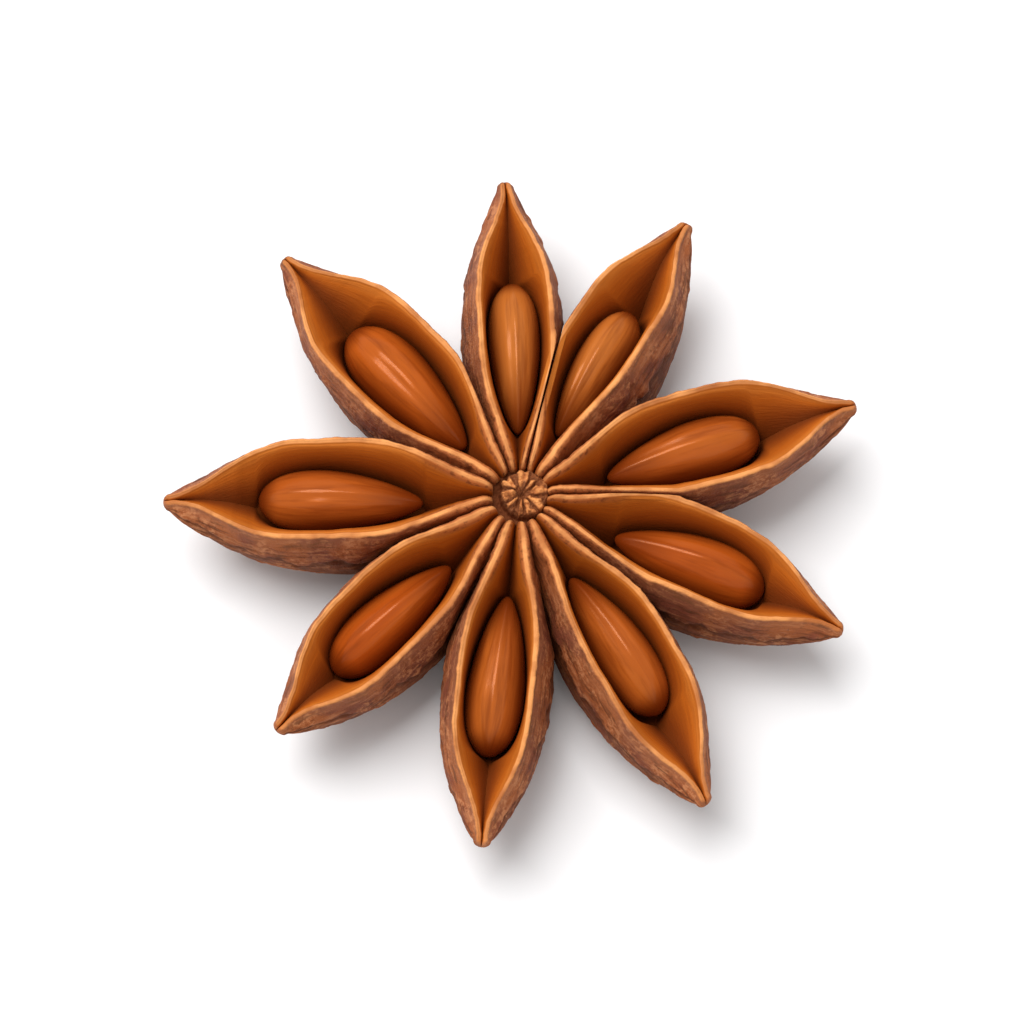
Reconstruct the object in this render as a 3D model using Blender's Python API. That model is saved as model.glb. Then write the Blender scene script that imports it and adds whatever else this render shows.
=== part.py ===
"""Star anise pod: nine boat-shaped carpels grown together round a short central column, one seed in each.

Run it with: blender --background --python part.py
Units are metres, +Z is up. The origin is on the column's axis, at the stalk scar on which the pod rests.
"""

import math

import bmesh
import bpy
from mathutils import Matrix, Vector

MM = 0.001

# Heights above the resting plane
LIP_HEIGHT = 7.5 * MM  # the lips where they meet the central disc
LIP_ARCH = 0.35 * MM  # how far the lips rise between the disc and the tip
TIP_DROOP = 2.0 * MM  # how far the tips hang below the disc
DROOP_POWER = 1.6  # over 1, the lips stay level by the disc and droop near the tips
TIP_DEPTH = 0.85 * MM  # height of the blunt tip
BELLY_DIP = 0.12 * MM  # the belly would dip this far under the plane, and is flat there instead
HEEL_RISE = 1.2 * MM  # underside of a carpel where it leaves the column
KEEL_POWER = 1.9  # over 1, the keel leaves the plane gently and rises faster near the tip

# Carpel walls
INNER_RADIUS = 1.3 * MM  # where a carpel starts, inside the column
LIP_WIDTH = 0.42 * MM
SLIT = 0.1 * MM  # half the gap between two closed lips
GROOVE = 0.05 * MM  # half the groove between neighbouring lips
FUSED = 0.12 * MM  # how far a belly grows into its neighbour's
NOSE = 0.3 * MM  # length over which the tip is rounded off
NOSE_RINGS = ((0.6, 0.8), (1.0, 0.4))  # how far along the nose each ring lies, and its size
BELLY_AT = 0.42  # share of the reach where the belly is lowest
FLOOR_SHARE = 0.72  # depth of the hollow as a share of the carpel's depth
GAPE_TAIL = 1.6  # the lips draw out to a fine beak
BELLY_PEAK = 0.52  # share of the reach where the body is widest
BELLY_TAIL = 0.75  # the body stays full up to the blunt tip
SEED_SPACE = 0.4 * MM  # wall to seed, where the hollow has to widen below narrow lips

# Mesh density
STATIONS = 14
OUTER_STEPS = 5
INNER_STEPS = 5

# Column
DISC_RADIUS = 1.45 * MM
COLUMN_WAIST = 3.0 * MM
SCAR_RADIUS = 1.3 * MM
DISC_DROP = 0.45 * MM  # the disc lies this far below the lips
COLUMN_SIDES = 24
COLUMN_STEPS = 7

# Seeds
SEED_SUNK = 2.6 * MM  # centre of a seed below the lips
SEED_HALF_DEPTH = 1.85 * MM
SEED_SWELL = 0.22  # how much fuller a seed is towards its outer end
SEED_POINT = 0.1  # how much its inner end is drawn in
SEED_RINGS = 8
SEED_SIDES = 12

# Each carpel, counter-clockwise from +X: heading and lean in degrees, the rest in millimetres.
# turn: how far the tip swings off the heading. lean: roll of the opening, positive to the left, looking out.
# gape: half the widest opening. peak: share of the reach where it is widest. belly: half the widest body.
# seed: how far out its middle lies, half its length, half its width.
CARPELS = (
    dict(heading=18.9, turn=-1.4, lean=0, reach=17.8, gape=2.20, peak=0.55, belly=2.95, seed=(8.7, 4.05, 1.50)),
    dict(heading=61.0, turn=-1.4, lean=7, reach=17.3, gape=1.60, peak=0.58, belly=2.85, seed=(8.0, 3.85, 1.22)),
    dict(heading=92.1, turn=0.7, lean=-3, reach=17.3, gape=1.55, peak=0.54, belly=2.70, seed=(7.9, 4.10, 1.28)),
    dict(heading=131.9, turn=0.4, lean=0, reach=17.8, gape=2.25, peak=0.56, belly=2.95, seed=(8.4, 4.30, 1.66)),
    dict(heading=177.3, turn=1.8, lean=0, reach=17.9, gape=2.25, peak=0.54, belly=3.30, seed=(9.0, 4.15, 1.52)),
    dict(heading=221.6, turn=2.3, lean=0, reach=16.8, gape=1.90, peak=0.56, belly=2.95, seed=(8.6, 3.90, 1.42)),
    dict(heading=262.6, turn=1.2, lean=0, reach=17.7, gape=1.58, peak=0.56, belly=2.95, seed=(8.8, 4.05, 1.42)),
    dict(heading=303.9, turn=-3.3, lean=4, reach=18.0, gape=1.75, peak=0.58, belly=2.85, seed=(8.6, 4.05, 1.40)),
    dict(heading=341.4, turn=-3.6, lean=3, reach=17.4, gape=1.95, peak=0.55, belly=2.90, seed=(9.0, 3.95, 1.52)),
)


def clear_scene():
    for obj in list(bpy.data.objects):
        bpy.data.objects.remove(obj)


def smooth_step(value):
    value = min(max(value, 0.0), 1.0)
    return value * value * (3 - 2 * value)


def hump(share, peak, tail):
    """1 at the peak and 0 at both ends; a tail over 1 draws the outer end out to a fine point."""
    head = tail * peak / (1 - peak)
    return (share / peak) ** head * ((1 - share) / (1 - peak)) ** tail


def lip_height(share):
    return LIP_HEIGHT + LIP_ARCH * 4 * share * (1 - share) - TIP_DROOP * share**DROOP_POWER


def keel_height(share):
    tip_keel = lip_height(1) - TIP_DEPTH
    if share < BELLY_AT:
        return -BELLY_DIP + HEEL_RISE * (1 - share / BELLY_AT) ** 2
    return -BELLY_DIP + (tip_keel + BELLY_DIP) * ((share - BELLY_AT) / (1 - BELLY_AT)) ** KEEL_POWER


def hollow_depth(share):
    """Depth of the hollow under the lips: a slit at the column, a shallow groove at the tip."""
    depth = FLOOR_SHARE * (lip_height(share) - keel_height(share))
    opens = 0.08 + 0.92 * smooth_step(share / 0.16)
    closes = 1 - 0.75 * smooth_step((share - 0.8) / 0.2)
    return depth * opens * closes


def half_sectors(index):
    """Half the angle to the neighbour on the right and on the left, in radians."""
    here = CARPELS[index]["heading"]
    right = (here - CARPELS[index - 1]["heading"]) % 360
    left = (CARPELS[(index + 1) % len(CARPELS)]["heading"] - here) % 360
    return math.radians(right / 2), math.radians(left / 2)


def half_section(carpel, share, radius, room):
    """(outer, inner) lists of (y, z), both from the lip down to the keel, for one side of a carpel."""
    length_share = radius / (carpel["reach"] * MM)
    gap = SLIT + carpel["gape"] * MM * hump(length_share, carpel["peak"], GAPE_TAIL)
    lip_width = LIP_WIDTH * (1 - 0.3 * share**3)
    lip_outer = min(gap + lip_width, room - GROOVE)
    gap = min(gap, lip_outer - 0.6 * lip_width)
    body = min(carpel["belly"] * MM * hump(length_share, BELLY_PEAK, BELLY_TAIL), room + FUSED)
    bulge = max(0.06 * MM, body - 0.8 * lip_outer)
    top = lip_height(share)
    depth = top - keel_height(share)
    hollow = hollow_depth(share)
    seed_room = (carpel["seed"][2] * MM + SEED_SPACE) * hump(share, 0.5, 1)
    inner_bulge = max(0.0, min(seed_room, 0.8 * body) - 0.85 * gap)

    def outer_point(step):
        angle = math.pi / 2 * step / OUTER_STEPS
        side = lip_outer * max(math.cos(angle), 0) ** 0.75 + bulge * math.sin(2 * angle)
        return side, max(top - depth * math.sin(angle), 0)

    def inner_point(step):
        angle = math.pi / 2 * step / INNER_STEPS
        side = gap * max(math.cos(angle), 0) + inner_bulge * math.sin(2 * angle)
        return side, top - hollow * math.sin(angle)

    outer = [outer_point(step) for step in range(OUTER_STEPS + 1)]
    inner = [inner_point(step) for step in range(INNER_STEPS + 1)]
    return outer, inner


def lean_shear(carpel, share):
    """How far a carpel leans to the left for each unit of height; it stands upright where it leaves the column."""
    return math.tan(math.radians(carpel["lean"])) * smooth_step(share / 0.4)


def carpel_ring(index, share):
    """The closed outline of the wall at this share of the reach, as points in the carpel's own frame."""
    carpel = CARPELS[index]
    reach = carpel["reach"] * MM
    radius = INNER_RADIUS + (reach - NOSE - INNER_RADIUS) * share
    middle = lip_height(share) * 0.5
    sway = reach * math.sin(math.radians(carpel["turn"])) * share**3
    shear = lean_shear(carpel, share)
    rooms = [radius * math.tan(sector) for sector in half_sectors(index)]

    def place(points, hand, inset):
        """Leans the points over, and keeps their upper part clear of the neighbour's and their lower part fused."""
        room = rooms[hand > 0] - inset
        placed = []
        for side, z in points:
            leant = side + hand * shear * (z - middle)
            leant = min(leant, room + (FUSED if z < middle else -GROOVE))
            placed.append(Vector((radius, hand * leant + sway, max(z, 0))))
        return placed

    right_outer, right_inner = half_section(carpel, share, radius, rooms[0])
    left_outer, left_inner = half_section(carpel, share, radius, rooms[1])
    outline = place(right_outer, -1, 0) + place(reversed(left_outer[:-1]), 1, 0)
    outline += place(left_inner, 1, 0.6 * LIP_WIDTH) + place(reversed(right_inner[:-1]), -1, 0.6 * LIP_WIDTH)
    return outline


def loft(mesh, rings):
    """Bridges the rings, each a list of as many points, and closes both ends."""
    loops = [[mesh.verts.new(point) for point in ring] for ring in rings]
    count = len(rings[0])
    for near, far in zip(loops, loops[1:]):
        for i in range(count):
            j = (i + 1) % count
            mesh.faces.new((near[i], near[j], far[j], far[i]))
    mesh.faces.new(list(reversed(loops[0])))
    mesh.faces.new(loops[-1])


def make_material(name, colour, roughness):
    material = bpy.data.materials.new(name)
    material.use_nodes = True
    shader = material.node_tree.nodes["Principled BSDF"]
    shader.inputs["Base Color"].default_value = (*colour, 1)
    shader.inputs["Roughness"].default_value = roughness
    shader.inputs["Metallic"].default_value = 0
    return material


def add_object(name, mesh, material):
    mesh.normal_update()
    bmesh.ops.recalc_face_normals(mesh, faces=mesh.faces)
    data = bpy.data.meshes.new(name)
    mesh.to_mesh(data)
    mesh.free()
    data.materials.append(material)
    data.shade_smooth()
    data.set_sharp_from_angle(angle=math.radians(40))
    obj = bpy.data.objects.new(name, data)
    bpy.context.scene.collection.objects.link(obj)
    return obj


def build_carpel(index, material):
    """One carpel, as a helper that the husk takes in by a Boolean union."""
    mesh = bmesh.new()
    rings = []
    for station in range(STATIONS + 1):
        even = station / STATIONS
        eased = 0.5 - 0.5 * math.cos(math.pi * even)
        rings.append(carpel_ring(index, 0.5 * (even + eased)))
    end = rings[-1]
    centre = sum(end, Vector()) / len(end)
    for out, scale in NOSE_RINGS:
        rings.append([centre + scale * (point - centre) + Vector((out * NOSE, 0, 0)) for point in end])
    loft(mesh, rings)
    helper = add_object(f"carpel_{index + 1}", mesh, material)
    helper.rotation_euler.z = math.radians(CARPELS[index]["heading"])
    helper.hide_render = True
    helper.display_type = "WIRE"
    return helper


def build_column(material):
    """The column, turned about Z: a dimpled disc on top, widest at mid-height, the stalk scar below."""
    profile = [(0.0, LIP_HEIGHT - DISC_DROP - 0.1 * MM), (0.5 * DISC_RADIUS, LIP_HEIGHT - DISC_DROP + 0.1 * MM)]
    for step in range(COLUMN_STEPS + 1):
        share = step / COLUMN_STEPS
        taper = DISC_RADIUS + (SCAR_RADIUS - DISC_RADIUS) * share
        swell = (COLUMN_WAIST - DISC_RADIUS) * math.sin(math.pi * share)
        profile.append((taper + swell, (LIP_HEIGHT - DISC_DROP) * (1 - share)))
    mesh = bmesh.new()
    top = mesh.verts.new((0, 0, profile[0][1]))
    loops = []
    for radius, height in profile[1:]:
        loop = []
        for side in range(COLUMN_SIDES):
            angle = 2 * math.pi * (side + 0.5) / COLUMN_SIDES
            loop.append(mesh.verts.new((radius * math.cos(angle), radius * math.sin(angle), height)))
        loops.append(loop)
    for i in range(COLUMN_SIDES):
        mesh.faces.new((top, loops[0][i], loops[0][(i + 1) % COLUMN_SIDES]))
    for above, below in zip(loops, loops[1:]):
        for i in range(COLUMN_SIDES):
            j = (i + 1) % COLUMN_SIDES
            mesh.faces.new((above[i], below[i], below[j], above[j]))
    mesh.faces.new(loops[-1])
    return add_object("husk", mesh, material)


def build_husk(material):
    husk = build_column(material)
    for index in range(len(CARPELS)):
        union = husk.modifiers.new(f"carpel_{index + 1}", "BOOLEAN")
        union.operation = "UNION"
        union.solver = "EXACT"
        union.object = build_carpel(index, material)
    return husk


def build_seed(index, material):
    """An almond of a seed, on edge in its hollow: blunt outwards, drawn to a point towards the column."""
    carpel = CARPELS[index]
    middle, half_length, half_width = (value * MM for value in carpel["seed"])
    mesh = bmesh.new()
    bmesh.ops.create_uvsphere(mesh, u_segments=SEED_SIDES, v_segments=SEED_RINGS, radius=1)
    share = (middle - INNER_RADIUS) / (carpel["reach"] * MM - INNER_RADIUS)
    sway = carpel["reach"] * MM * math.sin(math.radians(carpel["turn"])) * share**3
    slope = (lip_height(share + 0.1) - lip_height(share - 0.1)) / (0.2 * carpel["reach"] * MM)
    for vert in mesh.verts:
        along, side, up = vert.co.z, vert.co.x, vert.co.y
        waist = 1 + SEED_SWELL * along - SEED_POINT * (1 - along) ** 2 / 4
        vert.co = Vector((along * half_length, side * half_width * waist, up * SEED_HALF_DEPTH * waist))
        vert.co.z += slope * vert.co.x
    seed = add_object(f"seed_{index + 1}", mesh, material)
    height = lip_height(share) - SEED_SUNK
    sway += lean_shear(carpel, share) * (height - lip_height(share) * 0.5)
    heading = math.radians(carpel["heading"])
    seed.rotation_euler = (-math.atan(lean_shear(carpel, share)), 0, heading)
    seed.location = Matrix.Rotation(heading, 3, "Z") @ Vector((middle, sway, height))
    return seed


def main():
    clear_scene()
    husk_material = make_material("husk", (0.30, 0.115, 0.045), 0.7)
    seed_material = make_material("seed", (0.42, 0.085, 0.012), 0.25)
    build_husk(husk_material)
    for index in range(len(CARPELS)):
        build_seed(index, seed_material)


main()
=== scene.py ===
import math

import bpy
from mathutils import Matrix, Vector


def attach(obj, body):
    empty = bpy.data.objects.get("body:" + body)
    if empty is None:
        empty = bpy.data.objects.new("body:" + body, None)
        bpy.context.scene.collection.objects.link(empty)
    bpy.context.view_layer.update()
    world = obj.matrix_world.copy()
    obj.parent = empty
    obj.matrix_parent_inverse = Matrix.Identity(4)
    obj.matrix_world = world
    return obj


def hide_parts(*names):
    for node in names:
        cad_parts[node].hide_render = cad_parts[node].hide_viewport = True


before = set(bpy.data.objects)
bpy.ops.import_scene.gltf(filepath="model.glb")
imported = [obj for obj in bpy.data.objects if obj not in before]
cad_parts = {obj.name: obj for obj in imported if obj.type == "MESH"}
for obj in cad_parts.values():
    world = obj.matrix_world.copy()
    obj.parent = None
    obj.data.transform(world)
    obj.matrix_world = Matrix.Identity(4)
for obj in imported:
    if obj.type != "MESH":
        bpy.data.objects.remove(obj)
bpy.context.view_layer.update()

mm = 0.001
degree = math.pi / 180
joinDistance = 0.00002  # in mm: points closer than this become one

# One row for each carpel, anticlockwise from +X. Angles are in degrees and lengths in mm.
# A seed is given by the distance of its middle from the axis, its half length and its half width.
# Gape and belly are half widths. Tan is how far the seed's colour goes from chestnut to tan.
carpelColumns = ("heading", "turn", "lean", "reach", "gape", "peak", "belly", "seed", "tan")
carpelRows = (
    (18.9, -1.4, 0, 17.8, 2.20, 0.55, 2.95, (8.7, 4.05, 1.50), 0.35),
    (61.0, -1.4, 7, 17.3, 1.60, 0.58, 2.85, (8.0, 3.85, 1.22), 0.90),
    (92.1, 0.7, -3, 17.3, 1.55, 0.54, 2.70, (7.9, 4.10, 1.28), 1.00),
    (131.9, 0.4, 0, 17.8, 2.25, 0.56, 2.95, (8.4, 4.30, 1.66), 0.10),
    (177.3, 1.8, 0, 17.9, 2.25, 0.54, 3.30, (9.0, 4.15, 1.52), 0.30),
    (221.6, 2.3, 0, 16.8, 1.90, 0.56, 2.95, (8.6, 3.90, 1.42), 0.05),
    (262.6, 1.2, 0, 17.7, 1.58, 0.56, 2.95, (8.8, 4.05, 1.42), 0.45),
    (303.9, -3.3, 4, 18.0, 1.75, 0.58, 2.85, (8.6, 4.05, 1.40), 0.40),
    (341.4, -3.6, 3, 17.4, 1.95, 0.55, 2.90, (9.0, 3.95, 1.52), 0.10),
)
carpels = [dict(zip(carpelColumns, row)) for row in carpelRows]

# Heights and depths that carpels and seeds share, in mm
form = {
    "lipHeight": 7.5,
    "lipArch": 0.35,
    "tipDroop": 2.0,  # how far the lips come down towards the tip
    "droopPower": 1.6,
    "innerRadius": 1.3,  # where the ribs start, under the edge of the disc
    "seedSunk": 2.6,  # middle of a seed below the lips
    "leanBlend": 0.4,  # share of the reach over which a leaning carpel leans over
}


class Flow:
    # A number that flows through a node tree: arithmetic on it adds Math nodes

    def __init__(self, tree, socket):
        self.tree = tree
        self.socket = socket

    def via(self, operation, *others):
        return node(self.tree, "ShaderNodeMath", [self, *others], operation=operation)[0]

    def __add__(self, other):
        return self.via("ADD", other)

    def __radd__(self, other):
        return self.via("ADD", other)

    def __sub__(self, other):
        return self.via("SUBTRACT", other)

    def __rsub__(self, other):
        return Flow(self.tree, other).via("SUBTRACT", self)

    def __mul__(self, other):
        return self.via("MULTIPLY", other)

    def __rmul__(self, other):
        return self.via("MULTIPLY", other)

    def __truediv__(self, other):
        return self.via("DIVIDE", other)

    def __pow__(self, other):
        return self.via("POWER", other)

    def least(self, other):
        return self.via("MINIMUM", other)

    def most(self, other):
        return self.via("MAXIMUM", other)

    # An eased step: first up to low, last from high on
    def ramp(self, low, high, first=0.0, last=1.0):
        feeds = {"Value": self, "From Min": low, "From Max": high, "To Min": first, "To Max": last}
        return node(self.tree, "ShaderNodeMapRange", feeds, interpolation_type="SMOOTHSTEP")[0]

    # How far it is from low to high, kept between 0 and 1
    def share(self, low, high):
        feeds = {"Value": self, "From Min": low, "From Max": high}
        return node(self.tree, "ShaderNodeMapRange", feeds)[0]

    # Part of the way to another value
    def towards(self, other, amount):
        return self + (other - self) * amount


# Links a flow to a socket, or sets the socket to a plain value
def feed(tree, socket, value):
    source = value.socket if isinstance(value, Flow) else value
    if isinstance(source, bpy.types.NodeSocket):
        tree.links.new(source, socket)
    else:
        socket.default_value = source


# Adds a node, sets its options, links or fills its inputs, and gives back its outputs
def node(tree, kind, feeds=(), **options):
    made = tree.nodes.new(kind)
    for name, value in options.items():
        setattr(made, name, value)
    pairs = feeds.items() if isinstance(feeds, dict) else enumerate(feeds)
    for key, value in pairs:
        feed(tree, made.inputs[key], value)
    return [Flow(tree, socket) for socket in made.outputs]


def combine(tree, x, y, z):
    return node(tree, "ShaderNodeCombineXYZ", [x, y, z])[0]


def noise(tree, place, scale, detail=2.0, rough=0.5, twist=0.0):
    feeds = {
        "Vector": place, "Scale": scale, "Detail": detail, "Roughness": rough, "Distortion": twist,
    }
    return node(tree, "ShaderNodeTexNoise", feeds)[0]


# Makes a geometry tree with a named input for each size, and gives back the tree and its inputs
def newTree(name, sizes):
    tree = bpy.data.node_groups.new(name, "GeometryNodeTree")
    for label, value in sizes.items():
        socket = tree.interface.new_socket(label, in_out="INPUT", socket_type="NodeSocketFloat")
        socket.default_value = value
    tree.interface.new_socket("Geometry", in_out="OUTPUT", socket_type="NodeSocketGeometry")
    start = node(tree, "NodeGroupInput")
    return tree, dict(zip(sizes, start))


def store(tree, geometry, name, value, kind="FLOAT"):
    feeds = {"Geometry": geometry, "Name": name, "Value": value}
    return node(tree, "GeometryNodeStoreNamedAttribute", feeds, data_type=kind)[0]


# Keeps what the materials need to know; this comes before the points move, because the fields
# are read from their first places
def storeTraits(tree, geometry, traits, skin):
    for name, value in traits.items():
        geometry = store(tree, geometry, name, value)
    return store(tree, geometry, "skin", skin, "FLOAT_VECTOR")


# Moves the points to their places and joins those that fall together, at poles and creases
def placePoints(tree, geometry, place):
    moved = node(tree, "GeometryNodeSetPosition", {"Geometry": geometry, "Position": place})[0]
    feeds = {"Geometry": moved, "Distance": joinDistance}
    return node(tree, "GeometryNodeMergeByDistance", feeds)[0]


# Turns to the heading, scales to metres, shades smooth, gives the material and ends the tree
def finishTree(tree, geometry, heading, material):
    turn = combine(tree, 0.0, 0.0, heading * degree)
    feeds = {"Geometry": geometry, "Rotation": turn, "Scale": (mm, mm, mm)}
    geometry = node(tree, "GeometryNodeTransform", feeds)[0]
    geometry = node(tree, "GeometryNodeSetShadeSmooth", {"Geometry": geometry})[0]
    geometry = node(tree, "GeometryNodeRealizeInstances", {"Geometry": geometry})[0]
    feeds = {"Geometry": geometry, "Material": material}
    geometry = node(tree, "GeometryNodeSetMaterial", feeds)[0]
    node(tree, "NodeGroupOutput", {"Geometry": geometry})


# Runs a tree with the given inputs and keeps the result as a plain mesh
def growPiece(name, tree, sizes):
    piece = bpy.data.objects.new(name, bpy.data.meshes.new(name))
    bpy.context.scene.collection.objects.link(piece)
    modifier = piece.modifiers.new(tree.name, "NODES")
    modifier.node_group = tree
    for socket in tree.interface.items_tree:
        if socket.in_out == "INPUT" and socket.name in sizes:
            modifier[socket.identifier] = float(sizes[socket.name])
    graph = bpy.context.evaluated_depsgraph_get()
    grown = piece.evaluated_get(graph)
    mesh = bpy.data.meshes.new_from_object(grown, preserve_all_data_layers=True, depsgraph=graph)
    piece.modifiers.clear()
    piece.data = mesh
    mesh.name = name
    return piece


# Height of the lips where s runs from 0 at the column to 1 at the tip; s is a number or a Flow
def lipHeightAt(s):
    arch = s * (1 - s) * (4 * form["lipArch"])
    return arch - (s ** form["droopPower"]) * form["tipDroop"] + form["lipHeight"]


# 1 at the peak and 0 at both ends; a larger tail draws the far end out
def hump(share, peak, tail):
    rise = (share / peak) ** (tail * peak / (1 - peak))
    return rise * (((1 - share) / (1 - peak)) ** tail)


print("materials")


def newMaterial(name):
    material = bpy.data.materials.new(name)
    material.use_nodes = True
    tree = material.node_tree
    shader = tree.nodes["Principled BSDF"]
    return material, tree, shader


def attribute(tree, name):
    return node(tree, "ShaderNodeAttribute", attribute_name=name)


def number(tree, name):
    return attribute(tree, name)[2]


def blend(tree, amount, first, second):
    feeds = {0: amount, 6: first, 7: second}
    return node(tree, "ShaderNodeMix", feeds, data_type="RGBA")[2]


def addBump(tree, shader, height, strength):
    feeds = {"Height": height, "Strength": strength, "Distance": mm}
    feed(tree, shader.inputs["Normal"], node(tree, "ShaderNodeBump", feeds)[0])


# Colours are linear, and the scales of patterns are in 1/mm
huskLook = {
    "skin": (0.32, 0.085, 0.027, 1),
    "skinPale": (0.52, 0.20, 0.085, 1),
    "skinDark": (0.10, 0.026, 0.010, 1),
    "rib": (0.40, 0.115, 0.034, 1),
    "skinViolet": (0.20, 0.050, 0.027, 1),
    # painted shade below the ledge and in the moat
    "underShadeSkin": (0.11, 0.022, 0.006, 1),
    "wall": (0.46, 0.108, 0.009, 1),
    # painted shade deep in the hollow, also the colour of the wall's streaks
    "wallShadeAndStreaks": (0.25, 0.046, 0.005, 1),
    # painted light on the wall just under the lips
    "wallLit": (0.52, 0.145, 0.018, 1),
    "lip": (0.77, 0.315, 0.102, 1),
    "lipBrown": (0.42, 0.130, 0.038, 1),
    # painted shade in the crease round the seed, by the disc and along the beak's V
    "crease": (0.15, 0.030, 0.005, 1),
    "violetScale": 0.45,
    "speckScale": 3.0,
    "scurfScale": 0.8,
    "fibreScale": 2.6,
    "streakScale": 1.6,
    "wearScale": 0.7,
    "grainScale": 7.0,
    "scurf": 0.8,
    "fibres": 0.5,
    "roughness": 0.66,
    "wallSmooth": 0.26,  # how much less rough the inner wall is
    "specular": 0.42,
    "shine": (1.0, 0.62, 0.30, 1),
    "relief": 0.9,
}


def makeHuskMaterial():
    look = huskLook
    material, tree, shader = newMaterial("huskWood")
    place = node(tree, "ShaderNodeTexCoord")[3]
    inMm = (1 / mm, 1 / mm, 1 / mm)
    spot = node(tree, "ShaderNodeVectorMath", [place, inMm], operation="MULTIPLY")[0]
    skin = attribute(tree, "skin")[1]
    inside = number(tree, "inside")
    lip = number(tree, "lip")
    along = number(tree, "along")
    depth = number(tree, "depth")
    crest = number(tree, "crest")
    underShade = number(tree, "underShade")

    # rough outer skin: violet patches, painted shade below the ledge, pale scurf and thin fibres,
    # paler just below the lip
    violet = noise(tree, spot, look["violetScale"])
    outer = blend(tree, violet.ramp(0.42, 0.62), look["skin"], look["skinViolet"])
    outer = blend(tree, along.ramp(0.34, 0.10), outer, look["rib"])
    # painted shade below the ledge and in the moat; towards the column the whole lower flank is
    # darker
    outer = blend(tree, underShade * 0.9, outer, look["underShadeSkin"])
    specks = noise(tree, spot, look["speckScale"], 3.0, 0.7)
    scurf = noise(tree, spot, look["scurfScale"]).ramp(0.44, 0.60) * specks.ramp(0.47, 0.58)
    outer = blend(tree, scurf * (look["scurf"] - underShade * 0.45), outer, look["skinPale"])
    fibres = noise(tree, skin, look["fibreScale"], 3.0, 0.6, 0.4)
    paleFibres = fibres.ramp(0.53, 0.66) * (look["fibres"] - underShade * 0.15)
    outer = blend(tree, paleFibres, outer, look["skinPale"])
    outer = blend(tree, fibres.ramp(0.48, 0.34) * 0.75, outer, look["skinDark"])
    # painted shade in the grooves of the relief, and off the ridges of the disc's folds
    outer = blend(tree, crest.ramp(-0.01, -0.08) * 0.7, outer, look["skinDark"])
    outer = blend(tree, specks.ramp(0.44, 0.32) * 0.55, outer, look["skinDark"])
    outer = blend(tree, depth.ramp(0.12, 0.0) * 0.25, outer, look["skinPale"])
    # painted shade again, deepest in the thin crevice at the ledge's edge
    outer = blend(tree, underShade.ramp(0.55, 1.0) * 0.6, outer, look["underShadeSkin"])

    # smooth inner wall: painted light just under the lips, painted shade deeper down and in the
    # crease round the seed, by the disc and at the beak
    streaks = noise(tree, skin, look["streakScale"], 3.0, 0.55)
    wall = blend(tree, depth.ramp(0.02, 0.18), look["wallLit"], look["wall"])
    wall = blend(tree, depth.ramp(0.14, 0.54) * 0.9, wall, look["wallShadeAndStreaks"])
    wall = blend(tree, streaks.ramp(0.35, 0.7) * 0.3, wall, look["wallShadeAndStreaks"])
    # painted shade in the crease round the seed, by the disc and along the beak's V
    wall = blend(tree, depth.ramp(0.40, 0.68) * 0.85, wall, look["crease"])
    wall = blend(tree, along.ramp(0.34, 0.10) * depth.ramp(0.10, 0.45) * 0.35, wall, look["crease"])
    wall = blend(tree, along.ramp(0.60, 0.78) * depth.ramp(0.10, 0.62) * 0.6, wall, look["crease"])

    # pale lips, brown where they are worn and towards the tip
    rim = blend(tree, streaks.ramp(0.40, 0.75), look["lip"], look["lipBrown"])
    worn = noise(tree, spot, look["wearScale"], 3.0, 0.55).ramp(0.44, 0.64)
    rim = blend(tree, worn * 0.55, rim, look["lipBrown"])
    rim = blend(tree, along.ramp(0.80, 1.0) * 0.6, rim, look["lipBrown"])
    colour = blend(tree, inside, outer, wall)
    ribSide = along.ramp(0.30, 0.14) * depth.ramp(0.10, 0.0)
    colour = blend(tree, ribSide * 0.85, colour, look["rib"])
    colour = blend(tree, ribSide * specks.ramp(0.50, 0.38) * 0.6, colour, look["skinDark"])
    colour = blend(tree, lip.ramp(0.18, 0.85), colour, rim)
    feed(tree, shader.inputs["Base Color"], colour)

    rough = inside * -look["wallSmooth"] + look["roughness"] + specks * 0.16 - ribSide * 0.16
    feed(tree, shader.inputs["Roughness"], rough)
    shader.inputs["Specular IOR Level"].default_value = look["specular"]
    shader.inputs["Specular Tint"].default_value = look["shine"]

    grain = noise(tree, spot, look["grainScale"], 4.0, 0.65)
    threads = noise(tree, skin, 4.0, 3.0, 0.6)
    bump = (grain * 0.06 + specks * 0.08) * (1 - inside * 0.9) + threads * 0.03
    addBump(tree, shader, bump, look["relief"])
    return material


seedLook = {
    "coat": (0.33, 0.058, 0.005, 1),
    # darker streaks, and painted shade at the seed's sides and ends
    "streakAndShade": (0.13, 0.020, 0.002, 1),
    "amber": (0.39, 0.084, 0.008, 1),
    "tan": (0.44, 0.140, 0.024, 1),
    "streakScale": 1.2,
    "tintScale": 0.35,
    "roughness": 0.25,
    "coatWeight": 0.15,
    "coatRoughness": 0.14,
    "shine": (1.0, 0.42, 0.15, 1),
    "relief": 0.6,
}


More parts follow.
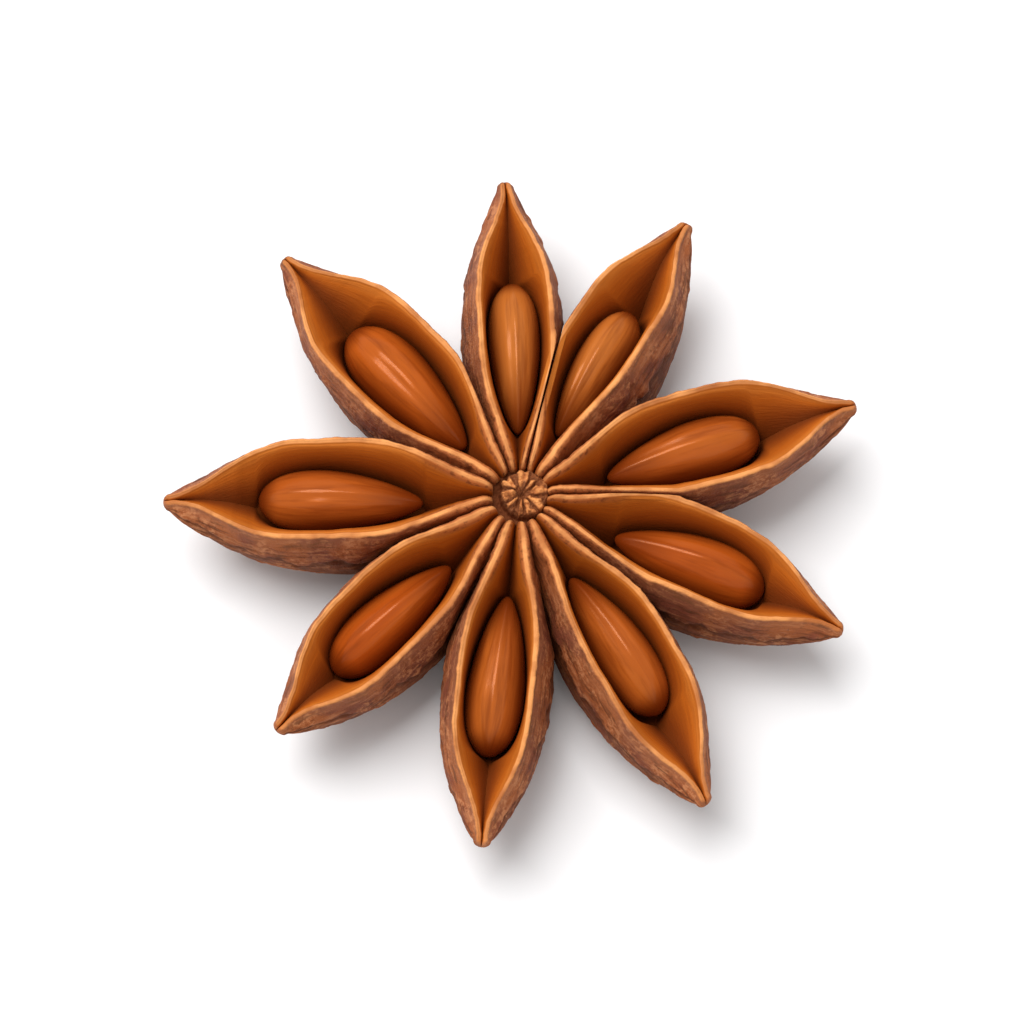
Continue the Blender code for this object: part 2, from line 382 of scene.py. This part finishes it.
def makeSeedMaterial():
    look = seedLook
    material, tree, shader = newMaterial("seedCoat")
    skin = attribute(tree, "skin")[1]
    edgeShade = number(tree, "edgeShade")
    streaks = noise(tree, skin, look["streakScale"], 3.0, 0.6)
    tint = noise(tree, skin, look["tintScale"], 1.0)
    colour = blend(tree, tint.ramp(0.40, 0.65), look["coat"], look["amber"])
    colour = blend(tree, number(tree, "tan"), colour, look["tan"])
    colour = blend(tree, streaks.ramp(0.45, 0.75) * 0.5, colour, look["streakAndShade"])
    # painted shade at the seed's sides and both ends
    colour = blend(tree, edgeShade * 0.9, colour, look["streakAndShade"])
    feed(tree, shader.inputs["Base Color"], colour)
    shader.inputs["Roughness"].default_value = look["roughness"]
    shader.inputs["Specular Tint"].default_value = look["shine"]
    shader.inputs["Coat Weight"].default_value = look["coatWeight"]
    shader.inputs["Coat Roughness"].default_value = look["coatRoughness"]
    shader.inputs["Coat Tint"].default_value = look["shine"]
    addBump(tree, shader, noise(tree, skin, 3.0) * 0.02, look["relief"])
    return material


huskWood = makeHuskMaterial()
seedCoat = makeSeedMaterial()

print("carpels")

# Lengths in mm; shares are of the reach unless a note says otherwise
boat = {
    "tipDepth": 0.85,
    "bellyDip": 0.02,  # how much of the belly is cut off by the flat spot it rests on
    "heelRise": 1.2,  # how far the keel comes up by the column
    "keelPower": 1.9,
    "bellyAt": 0.42,  # where the keel is lowest
    "lipWidth": 0.42,
    "slit": 0.07,  # half the gap between the lips where they close
    "groove": 0.05,  # from the lips to the middle of the gap between neighbours
    "fused": 0.12,  # how far neighbours run into each other where they are grown together
    "cleft": 1.1,  # by the disc, how far below the lips the carpels are joined
    "gapeTail": 1.9,  # over 1, the lips draw out to a fine beak
    "bellyPeak": 0.52,
    "bellyTail": 0.75,  # under 1, the belly keeps its width towards the tip
    "tipHalf": 0.46,  # half width of the blunt tip
    "tipSpread": 1.25,  # how much the carpel widens from there over the tip's length
    "tipLength": 0.2,
    "seedSpace": 0.09,  # wall to seed
    "seedSwell": 0.22,  # the hollow follows the seed's fuller outer end
    "seedPoint": 0.16,  # and its drawn-in inner end
    "shoulder": 0.52,  # share of the hollow's depth that lies below the shoulder, beside the seed
    "slotMost": 0.85,  # share of the belly's half width that the seed's place may take
    "floorShare": 0.72,  # depth of the hollow as a share of the carpel's depth
    "hollowStart": (0.0, 0.34, 0.10, 1.0),  # ramps along the carpel of the hollow's depth
    "hollowEnd": (0.60, 0.95, 1.0, 0.22),
    "nose": 0.3,  # length over which the tip is rounded off
    "noseShare": 0.035,  # share of the rings that the nose takes
    "bead": 0.24,  # height of the rounded rim
    "rimTurn": 0.88,  # of a half turn, how far the rim rolls over before the wall starts
    "rimLeast": 0.30,  # least width of the rim
    "lipTaper": 0.3,  # share by which the lips thin out towards the tip
    "wallInset": 0.25,  # how far the inner wall keeps from the neighbour
    "ribRound": 0.45,  # length over which a rib's inner end rounds down
    "ribDrop": 0.75,  # and how far it comes down
    "knob": 0.12,  # swelling at a rib's inner end
    "knobAt": 1.95,
    "knobWidth": 0.3,
    "lump": 0.30,  # unevenness of the rib ends
    "wave": 0.10,  # how far the lips wander up and down
    "wander": 0.10,  # and sideways
    "uneven": 0.45,  # share by which the lips' thickness varies
    "wrinkle": 0.07,  # depths and heights of the relief
    "grain": 0.03,
    "bump": 0.06,
    "ledge": 0.18,  # step at the edge of the tougher upper skin
    "rings": 150,
    "around": 232,  # points round each ring
    "outerShare": 0.52,  # of the half turn, how much goes to the outer skin
    "rimShare": 0.64,  # where the rim ends and the inner wall starts
    "shoulderShare": 0.88,  # where the shoulder meets the bowl under the seed
}


# The number only shifts the noise, so that no two carpels are alike
def makeCarpelTree():
    sizes = boat
    tree, given = newTree("carpel", {
        "Heading": 0.0, "Turn": 0.0, "Lean": 0.0, "Reach": 17.5, "Gape": 2.0, "Peak": 0.55,
        "Belly": 2.9, "Left Room": 0.36, "Right Room": 0.36, "Seed Middle": 8.6,
        "Seed Half Length": 4.0, "Seed Half Width": 1.5, "Number": 0.0,
    })
    reach = given["Reach"]
    tube = node(tree, "GeometryNodeMeshCylinder", {
        "Vertices": sizes["around"], "Side Segments": sizes["rings"], "Radius": 1.0, "Depth": 1.0,
    })[0]
    start = node(tree, "GeometryNodeInputPosition")[0]
    startX, startY, startZ = node(tree, "ShaderNodeSeparateXYZ", [start])

    # u goes from 0 by the column to 1 at the tip, and w from 0 at the keel to 1 at the bottom
    # of the hollow, up one side (hand 1) and up the other (hand -1)
    turnShare = startY.via("ARCTAN2", startX) / math.pi
    hand = turnShare.via("GREATER_THAN", -0.00001) * 2.0 - 1.0
    w = turnShare.via("ABSOLUTE")
    u = startZ + 0.5

    # along: s is u eased, with closer rings at both ends, and the nose rounds the tip off
    even = (u / (1 - sizes["noseShare"])).least(1.0)
    s = ((even * math.pi).via("COSINE") * -0.5 + even + 0.5) * 0.5
    noseTurn = u.share(1 - sizes["noseShare"], 1.0) * (math.pi / 2)
    radius = (reach - sizes["nose"] - form["innerRadius"]) * s + form["innerRadius"]
    t = radius / reach
    lip = lipHeightAt(s)
    tipKeel = form["lipHeight"] - form["tipDroop"] - sizes["tipDepth"]
    heel = (1 - s / sizes["bellyAt"]).most(0.0) ** 2
    run = ((s - sizes["bellyAt"]) / (1 - sizes["bellyAt"])).most(0.0) ** sizes["keelPower"]
    keel = heel * sizes["heelRise"] + run * (tipKeel + sizes["bellyDip"]) - sizes["bellyDip"]
    hollow = (lip - keel) * sizes["floorShare"]
    hollow = hollow * s.ramp(*sizes["hollowStart"]) * s.ramp(*sizes["hollowEnd"])

    # from -0.5 to 0.5 along the carpel, and different on each side of each carpel
    def unevenness(stretch, shift, spread=4.0, detail=2.0):
        place = combine(tree, radius * stretch, hand * spread + shift, given["Number"] * 9.0)
        return noise(tree, place, 1.0, detail, 0.6) - 0.5

    # lips: they wander a little, and end by the disc as rounded ribs
    free = radius.ramp(2.5, 6.0) * s.ramp(1.0, 0.8)
    wander = unevenness(0.45, 0.0) * 2.0
    wave = unevenness(0.5, 20.0) * 2.0
    lump = unevenness(2.0, 40.0, 6.0) * radius.ramp(4.5, 2.2, 0.3, 1.0)
    ribEnd = (1 - (radius - form["innerRadius"]) / sizes["ribRound"]).most(0.0)
    ribFall = 1 - (1 - ribEnd ** 2).most(0.0).via("SQRT")
    knob = (((radius - sizes["knobAt"]) / sizes["knobWidth"]) ** 2 * -1).via("EXPONENT")
    top = lip + wave * free * sizes["wave"] - ribFall * sizes["ribDrop"] + knob * sizes["knob"]
    top = top + lump * sizes["lump"]

    # widths at this station
    rightSide = hand.ramp(-0.5, 0.5)
    room = radius * given["Right Room"].towards(given["Left Room"], rightSide)
    opening = hump(t, given["Peak"], sizes["gapeTail"])
    opening = opening ** 1.5 * (2.5 - opening * 1.5)
    gap = given["Gape"] * opening + sizes["slit"]
    gap = gap + wander * free * sizes["wander"] * s.ramp(1.0, 0.7)
    lipWidth = (1 - s ** 3 * sizes["lipTaper"]) * sizes["lipWidth"]
    lipWidth = lipWidth + radius.ramp(2.2, 6.0, 0.20, -0.05)
    lipWidth = lipWidth * (unevenness(0.9, 60.0, 4.0, 3.0) * sizes["uneven"] * 2 + 1)
    lipOuter = (gap + lipWidth).least(room - sizes["groove"])
    gap = gap.least(lipOuter - sizes["rimLeast"])
    body = given["Belly"] * hump(t, sizes["bellyPeak"], sizes["bellyTail"])
    tipBody = (1 - s).share(0.0, sizes["tipLength"]) * sizes["tipSpread"] + sizes["tipHalf"]
    body = body.most(tipBody).least(room + sizes["fused"])
    bulge = (body - lipOuter * 0.8).most(0.06)

    # the wall comes down to the seed as a rounded shoulder, and is a plain V where there is no seed
    seedShare = (radius - given["Seed Middle"]) / (given["Seed Half Length"] + sizes["seedSpace"])
    snug = (1 - seedShare ** 2).most(0.0).via("SQRT")
    drawnIn = (1 - seedShare) ** 2 * (sizes["seedPoint"] / 4)
    slot = given["Seed Half Width"] * (seedShare * sizes["seedSwell"] + 1 - drawnIn)
    slot = ((slot + sizes["seedSpace"]) * snug).least(body * sizes["slotMost"])
    shoulderDepth = hollow * (1 - snug * sizes["shoulder"])
    shoulderPower = snug * 0.8 + 1.1

    # across: outer skin up to the lip, the rounded rim, then the wall down into the hollow
    bead = radius.ramp(2.6, 6.0, 1.8, 1.0) * sizes["bead"]
    rim = top - bead
    outerTurn = (1 - w.share(0.0, sizes["outerShare"])) * (math.pi / 2)
    rimPart = w.share(sizes["outerShare"], sizes["rimShare"])
    rimTurn = rimPart * (math.pi * sizes["rimTurn"])
    shoulder = w.share(sizes["rimShare"], sizes["shoulderShare"])
    bowlTurn = w.share(sizes["shoulderShare"], 1.0) * (math.pi / 2)
    outerY = lipOuter * outerTurn.via("COSINE").most(0.0) ** 0.75
    outerY = outerY + bulge * (outerTurn * 2).via("SINE")
    outerZ = rim - (rim - keel) * outerTurn.via("SINE")
    rimY = (lipOuter + gap) * 0.5 + (lipOuter - gap) * 0.5 * rimTurn.via("COSINE")
    rimZ = rim + rimTurn.via("SINE").most(0.0) ** 0.8 * bead
    brink = gap + (lipOuter - gap) * (0.5 + 0.5 * math.cos(math.pi * sizes["rimTurn"]))
    brinkZ = rim + bead * math.sin(math.pi * sizes["rimTurn"]) ** 0.8
    innerY = brink.towards(slot, shoulder) * bowlTurn.via("COSINE")
    innerZ = brinkZ.towards(rim - shoulderDepth, shoulder ** shoulderPower)
    innerZ = innerZ - (hollow - shoulderDepth) * bowlTurn.via("SINE")
    onRim = w.via("GREATER_THAN", sizes["outerShare"])
    onWall = w.via("GREATER_THAN", sizes["rimShare"])
    side = outerY.towards(rimY, onRim).towards(innerY, onWall)
    height = outerZ.towards(rimZ, onRim).towards(innerZ, onWall).most(0.0)

    # lean, then keep to this carpel's own sector
    shear = (given["Lean"] * degree).via("TANGENT") * s.ramp(0.0, form["leanBlend"])
    middle = lip * 0.5
    leant = side + hand * shear * (height - middle)
    joined = middle + (middle - sizes["cleft"]) * radius.ramp(5.5, 2.5)
    limit = room + (height - joined).ramp(-0.5, 0.5, sizes["fused"], -sizes["groove"])
    leant = leant.least(limit - onWall * sizes["wallInset"])
    sway = reach * (given["Turn"] * degree).via("SINE") * s ** 3

    # close both ends
    shrink = noseTurn.via("COSINE") * u.share(0.0, 0.5 / sizes["rings"])
    centre = (rim + keel) * 0.5
    x = radius + noseTurn.via("SINE") * sizes["nose"]
    y = hand * leant * shrink + sway
    z = centre + (height - centre) * shrink

    # where each point lies: inside or out, on the lip, and how far down either side
    atCrest = 0.5 / sizes["rimTurn"]
    crestShare = sizes["outerShare"] + (sizes["rimShare"] - sizes["outerShare"]) * atCrest
    inside = w.share(crestShare - 0.01, crestShare + 0.01)
    below = 1 - w.share(0.0, sizes["outerShare"])
    below = below.towards(w.share(sizes["rimShare"], 1.0), onWall)
    rolled = rimPart ** (math.log(0.5) / math.log(atCrest))
    # the lips' own pale colour, peaking on the rim's crest; by the disc it narrows to a thin line
    # on the ribs' crests as a painted highlight
    onLip = (rolled * math.pi).via("SINE").most(0.0) ** radius.ramp(2.6, 6.0, 5.0, 1.2)

    # the skin closes over the tip
    bare = u.share(1 - sizes["noseShare"] * 0.5, 1 - sizes["noseShare"])
    inside = inside * bare
    onLip = onLip * bare
    across = below * (rim - keel + body)
    layer = given["Number"] * 13.0 + hand * (1 - below) * 3.0
    skin = combine(tree, radius * 0.25, across * 1.5, layer)

    # relief: lengthwise wrinkles, grain, and the ledge of the tough upper skin
    outer = w.share(sizes["outerShare"], sizes["outerShare"] - 0.06)
    crease = (noise(tree, skin, 0.9, 3.0, 0.55, 0.6) - 0.5).via("ABSOLUTE")
    crease = (crease * -6.0 + 1.0).most(0.0) * below.ramp(0.05, 0.5, 0.35, 1.0)
    bump = noise(tree, combine(tree, x, across, layer + 5.0), 0.9, 1.0).ramp(0.60, 0.72)
    grain = noise(tree, combine(tree, x * 0.8, across, layer), 2.2, 3.0, 0.65) - 0.5
    edgePlace = combine(tree, radius * 0.6, hand * 5.0, given["Number"] * 7.0)
    edgeLine = noise(tree, edgePlace, 1.0, 3.0, 0.55)
    past = below - (edgeLine * 0.34 + 0.05)
    ledge = past.ramp(-0.015, 0.02) * s.ramp(0.1, 0.35)
    calm = height.share(0.0, 0.5) * s.ramp(0.0, 0.12, 0.15, 1.0) * s.ramp(1.0, 0.88, 0.2, 1.0)
    rough = grain * (sizes["grain"] * 2) + bump * sizes["bump"] - crease * sizes["wrinkle"]
    lift = (rough - ledge * sizes["ledge"]) * outer * calm
    # painted shade below the ledge: deepest in the crevice at its edge and fading further down;
    # towards the column the whole lower flank keeps it
    creviceShade = past.ramp(0.14, 0.03)
    underShade = ledge * outer * creviceShade.most(s.ramp(0.30, 0.62, 0.95, 0.15))

    traits = {
        "inside": inside,
        "lip": onLip,
        "along": s,
        "depth": below,
        # relief height, kept so the grooves get painted shade
        "crest": rough * outer * calm,
        "underShade": underShade,
        "lift": lift,
    }
    geometry = storeTraits(tree, tube, traits, skin)
    geometry = placePoints(tree, geometry, combine(tree, x, y, z))

    # the relief moves the skin along its own normals
    normal = node(tree, "GeometryNodeInputNormal")[0]
    raised = node(tree, "GeometryNodeInputNamedAttribute", {"Name": "lift"}, data_type="FLOAT")[0]
    offset = node(tree, "ShaderNodeVectorMath", {0: normal, "Scale": raised}, operation="SCALE")[0]
    geometry = node(tree, "GeometryNodeSetPosition", {"Geometry": geometry, "Offset": offset})[0]
    finishTree(tree, geometry, given["Heading"], huskWood)
    return tree


# Tangents of half the angle to the neighbour on each side: the right one is clockwise
def halfSectorTangents(index):
    here = carpels[index]["heading"]
    left = carpels[(index + 1) % len(carpels)]["heading"]
    right = carpels[index - 1]["heading"]
    return [math.tan((turn % 360) / 2 * degree) for turn in (left - here, here - right)]


carpelTree = makeCarpelTree()
for index, carpel in enumerate(carpels):
    leftRoom, rightRoom = halfSectorTangents(index)
    piece = growPiece(f"carpel_{index + 1}", carpelTree, {
        "Heading": carpel["heading"], "Turn": carpel["turn"], "Lean": carpel["lean"],
        "Reach": carpel["reach"], "Gape": carpel["gape"], "Peak": carpel["peak"],
        "Belly": carpel["belly"], "Left Room": leftRoom, "Right Room": rightRoom,
        "Seed Middle": carpel["seed"][0], "Seed Half Length": carpel["seed"][1],
        "Seed Half Width": carpel["seed"][2], "Number": index + 1,
    })
    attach(piece, "root")
    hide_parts("husk")

print("seeds")

# Lengths in mm; the rest are shares of the seed's own half sizes
kernel = {
    "halfDepth": 1.85,
    "swell": 0.22,  # how much fuller the outer end is
    "point": 0.2,  # how much the inner end is drawn in
    "ridge": 0.09,
    "ridgeWidth": 0.13,
    "sideRidge": 0.45,  # height of the second ridge as a share of the first
    "sideRidgeAt": 0.38,
    "sideRidgeWidth": 0.12,
    "uneven": 0.04,
    "plump": 1.05,
    "around": 96,
    "rings": 64,
}


def makeSeedTree():
    sizes = kernel
    tree, given = newTree("seed", {
        "Heading": 0.0, "Middle": 8.6, "Half Length": 4.0, "Half Width": 1.4, "Shear": 0.0,
        "Slope": 0.0, "Sway": 0.0, "Height": 5.0, "Tan": 0.5, "Number": 0.0,
    })
    ball = node(tree, "GeometryNodeMeshUVSphere", {
        "Segments": sizes["around"], "Rings": sizes["rings"], "Radius": 1.0,
    })[0]
    start = node(tree, "GeometryNodeInputPosition")[0]
    side, up, along = node(tree, "ShaderNodeSeparateXYZ", [start])
    waist = along * sizes["swell"] + 1 - (1 - along) ** 2 * (sizes["point"] / 4)
    crown = up.ramp(0.0, 0.6) * (1 - along ** 2)
    ridge = ((side / sizes["ridgeWidth"]) ** 2 * -1).via("EXPONENT") * crown * sizes["ridge"]
    beside = (side - sizes["sideRidgeAt"]) / sizes["sideRidgeWidth"]
    sideRidge = (beside ** 2 * -1).via("EXPONENT") * crown * (sizes["ridge"] * sizes["sideRidge"])
    lump = noise(tree, combine(tree, side, up, along + given["Number"] * 7.0), 1.1) - 0.5
    girth = waist + lump * sizes["uneven"] * 2
    x = along * given["Half Length"]
    y = side * given["Half Width"] * girth * sizes["plump"]
    z = up * sizes["halfDepth"] * girth + ridge + sideRidge
    z = z + x * given["Slope"]
    leanY = y + z * given["Shear"]

    across = up.via("ARCTAN2", side) * 1.4
    skin = combine(tree, x * 0.22, across * 2.2, given["Number"] * 11.0)
    # painted shade along the seed's sides and at both ends
    edgeShade = (side.via("ABSOLUTE") - along * 0.1).ramp(0.35, 1.0)
    edgeShade = edgeShade.most(along.ramp(0.72, 0.97)).most(along.ramp(-0.05, -0.95))
    geometry = storeTraits(tree, ball, {"edgeShade": edgeShade, "tan": given["Tan"]}, skin)
    place = combine(tree, x + given["Middle"], leanY + given["Sway"], z + given["Height"])
    geometry = placePoints(tree, geometry, place)
    finishTree(tree, geometry, given["Heading"], seedCoat)
    return tree


# Where a carpel's seed lies: it follows the lips' slope, and leans and sways with the carpel
def seedPlace(carpel):
    middle, halfLength, halfWidth = carpel["seed"]
    reach = carpel["reach"]
    s = (middle - form["innerRadius"]) / (reach - form["innerRadius"])
    step = 0.1
    slope = (lipHeightAt(s + step) - lipHeightAt(s - step)) / (2 * step * reach)
    settle = min(1.0, s / form["leanBlend"])
    shear = math.tan(carpel["lean"] * degree) * settle * settle * (3 - 2 * settle)
    height = lipHeightAt(s) - form["seedSunk"]
    sway = reach * math.sin(carpel["turn"] * degree) * s ** 3
    sway += shear * (height - lipHeightAt(s) / 2)
    return {
        "Heading": carpel["heading"], "Middle": middle, "Half Length": halfLength,
        "Half Width": halfWidth, "Shear": shear, "Slope": slope, "Sway": sway, "Height": height,
        "Tan": carpel["tan"],
    }


seedTree = makeSeedTree()
for index, carpel in enumerate(carpels):
    place = seedPlace(carpel)
    place["Number"] = index + 1
    piece = growPiece(f"kernel_{index + 1}", seedTree, place)
    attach(piece, "root")
    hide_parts(f"seed_{index + 1}")

print("centre")

# Lengths in mm
core = {
    "discRadius": 1.45,
    "waist": 3.0,  # widest radius of the column
    "scarRadius": 1.3,
    "discDrop": 0.45,  # how far the disc lies below the lips
    "petals": 9,
    "petalHeight": 0.38,
    "petalEnd": 1.16,  # how far out the petals reach
    "lopsided": 0.16,  # the petals reach further out on one side than on the other
    "lopsidedTurn": 0.5,  # which side that is, in radians from +X
    "pitAt": (0.12, 0.02),
    "pitDepth": 0.30,
    "pitRadius": 0.16,
    "moatDepth": 0.50,  # of the ring between the petals and the ribs
    "scarDepth": 0.20,
    "around": 180,
    "rings": 150,
}


def makeCentreTree():
    sizes = core
    tree, given = newTree("centre", {
        "Disc Radius": 1.5, "Waist": 3.0, "Scar Radius": 1.3, "Petal Height": 0.4,
        "Pit Depth": 0.3, "Moat Depth": 0.5, "Scar Depth": 0.2,
    })
    drum = node(tree, "GeometryNodeMeshCylinder", {
        "Vertices": sizes["around"], "Side Segments": sizes["rings"], "Radius": 1.0, "Depth": 1.0,
    })[0]
    start = node(tree, "GeometryNodeInputPosition")[0]
    startX, startY, startZ = node(tree, "ShaderNodeSeparateXYZ", [start])
    angle = startY.via("ARCTAN2", startX)
    u = 0.5 - startZ  # 0 at the middle of the disc, 1 at the middle of the stalk scar

    # the top takes the first two fifths of the rings, the side the next two and the scar the rest
    topShare = u.share(0.0, 0.4)
    sideShare = u.share(0.4, 0.8)
    scarShare = u.share(0.8, 1.0)
    discTop = form["lipHeight"] - sizes["discDrop"]
    sideTurn = (sideShare * math.pi).via("SINE")
    sideRadius = given["Disc Radius"].towards(given["Scar Radius"], sideShare)
    sideRadius = sideRadius + sideTurn * (given["Waist"] - given["Disc Radius"])
    onSide = u.via("GREATER_THAN", 0.4)
    onScar = u.via("GREATER_THAN", 0.8)
    topRadius = topShare * given["Disc Radius"]
    scarRadius = (1 - scarShare) * given["Scar Radius"]
    radius = topRadius.towards(sideRadius, onSide).towards(scarRadius, onScar)
    across = combine(tree, angle.via("COSINE") * radius, angle.via("SINE") * radius, 0.0)

    # petals: uneven folds that fan out from a small pit set a little off the middle
    offX = angle.via("COSINE") * topRadius - sizes["pitAt"][0]
    offY = angle.via("SINE") * topRadius - sizes["pitAt"][1]
    spread = (offX ** 2 + offY ** 2).via("SQRT")
    ring = combine(tree, offX / spread.most(0.05), offY / spread.most(0.05), spread * 0.35)
    warp = (noise(tree, ring, 1.1) - 0.5) * 6.5
    fold = (offY.via("ARCTAN2", offX) * (sizes["petals"] / 2) + warp).via("SINE")
    fold = fold.via("ABSOLUTE") ** 0.7
    lumps = noise(tree, across, 2.6, 3.0, 0.65) - 0.5
    skew = (angle - sizes["lopsidedTurn"]).via("COSINE") * sizes["lopsided"]
    rimAt = lumps * 0.5 + sizes["petalEnd"] + skew
    fan = spread.ramp(0.10, 0.55) * (spread - rimAt).ramp(0.14, -0.10)
    pit = ((spread / sizes["pitRadius"]) ** 2 * -1).via("EXPONENT")
    moat = (spread - rimAt).ramp(-0.10, 0.16)
    plump = noise(tree, across, 1.5, 2.0, 0.6).ramp(0.35, 0.62, 0.25, 1.15)
    top = fold * fan * plump * given["Petal Height"] + lumps * 0.5 * topRadius.ramp(1.4, 1.1)
    top = top - pit * given["Pit Depth"] - moat * given["Moat Depth"] + discTop
    sideHeight = (discTop - given["Moat Depth"]) * (1 - sideShare)
    scar = (1 - (1 - scarShare) ** 2) * (lumps * 0.6 + given["Scar Depth"])
    pith = (lumps * 1.2 + 0.75) * onScar * scarShare.ramp(0.03, 0.20) * scarShare.ramp(0.96, 0.82)
    z = top.towards(sideHeight, onSide).towards(scar.most(0.0), onScar)
    closed = u.share(0.0, 0.002) * (1 - u).share(0.0, 0.002)
    x = angle.via("COSINE") * radius * closed
    y = angle.via("SINE") * radius * closed

    # the folds' ridges are pale as a painted highlight and the scar's pith is pale as the lips are;
    # painted shade lies off the ridges, in the moat and on the column's side
    ridge = fold.ramp(0.35, 1.0) * fan * plump * (1 - pit)
    traits = {
        "inside": 0.0,
        "lip": ridge * (1 - onSide) * 0.88 + pith * 0.42,
        "along": 0.1,
        "depth": onSide * 0.3 + 0.3,
        "crest": (ridge - 1) * 0.10,
        "underShade": (onSide * 0.5).most(moat * 1.6),
    }
    skin = combine(tree, radius * 0.7, angle * 1.6, z * 0.4 + 50.0)
    geometry = storeTraits(tree, drum, traits, skin)
    geometry = placePoints(tree, geometry, combine(tree, x, y, z))
    finishTree(tree, geometry, 0.0, huskWood)
    return tree


centre = growPiece("centre", makeCentreTree(), {
    "Disc Radius": core["discRadius"], "Waist": core["waist"],
    "Scar Radius": core["scarRadius"], "Petal Height": core["petalHeight"],
    "Pit Depth": core["pitDepth"], "Moat Depth": core["moatDepth"],
    "Scar Depth": core["scarDepth"],
})
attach(centre, "root")
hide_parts("husk")

print("floor, light and camera")

studio = {
    "floor": 2.0,  # width in metres
    "floorAt": -0.02,  # in mm, just clear of the bellies
    "floorColour": (0.80, 0.795, 0.80, 1),
    "floorCloud": (0.80, 0.79, 0.78, 1),
    "floorRoughness": 0.6,
    "keyPower": 5.8,
    "keySize": 0.5,
    "keyAt": (-0.20, 0.20, 0.66),
    "fillPower": 0.5,
    "fillSize": 0.8,
    "fillAt": (0.5, -0.5, 0.6),
    "worldLight": 0.60,
    "distance": 0.35,
    "elevation": 73,
    "lookAt": (-0.38, -0.87, 7.05),  # in mm
    "frameWidth": 51.1,  # in mm, at the place the camera looks at
}


def makeFloor():
    half = studio["floor"] / 2
    low = studio["floorAt"] * mm
    corners = [(-half, -half, low), (half, -half, low), (half, half, low), (-half, half, low)]
    mesh = bpy.data.meshes.new("floor")
    mesh.from_pydata(corners, [], [(0, 1, 2, 3)])
    floor = bpy.data.objects.new("floor", mesh)
    bpy.context.scene.collection.objects.link(floor)
    material, tree, shader = newMaterial("paleTable")
    place = node(tree, "ShaderNodeTexCoord")[3]
    cloud = noise(tree, place, 6.0)
    shade = blend(tree, cloud * 0.03, studio["floorColour"], studio["floorCloud"])
    feed(tree, shader.inputs["Base Color"], shade)
    shader.inputs["Roughness"].default_value = studio["floorRoughness"]
    mesh.materials.append(material)


def addLight(name, power, size, place):
    light = bpy.data.lights.new(name, "AREA")
    light.energy = power
    light.size = size
    lamp = bpy.data.objects.new(name, light)
    lamp.location = place
    lamp.rotation_euler = (-Vector(place)).to_track_quat("-Z", "Y").to_euler()
    bpy.context.scene.collection.objects.link(lamp)


def addCamera():
    elevation = studio["elevation"] * degree
    away = Vector((0, -math.cos(elevation), math.sin(elevation)))
    camera = bpy.data.cameras.new("camera")
    camera.lens = camera.sensor_width * studio["distance"] / (studio["frameWidth"] * mm)
    holder = bpy.data.objects.new("camera", camera)
    holder.location = Vector(studio["lookAt"]) * mm + away * studio["distance"]
    holder.rotation_euler = away.to_track_quat("Z", "Y").to_euler()
    bpy.context.scene.collection.objects.link(holder)
    bpy.context.scene.camera = holder


makeFloor()
addLight("key", studio["keyPower"], studio["keySize"], studio["keyAt"])
addLight("fill", studio["fillPower"], studio["fillSize"], studio["fillAt"])
addCamera()

world = bpy.data.worlds.new("studio")
world.use_nodes = True
background = world.node_tree.nodes["Background"]
background.inputs["Color"].default_value = (1, 1, 1, 1)
background.inputs["Strength"].default_value = studio["worldLight"]
bpy.context.scene.world = world
bpy.context.scene.view_settings.view_transform = "Standard"
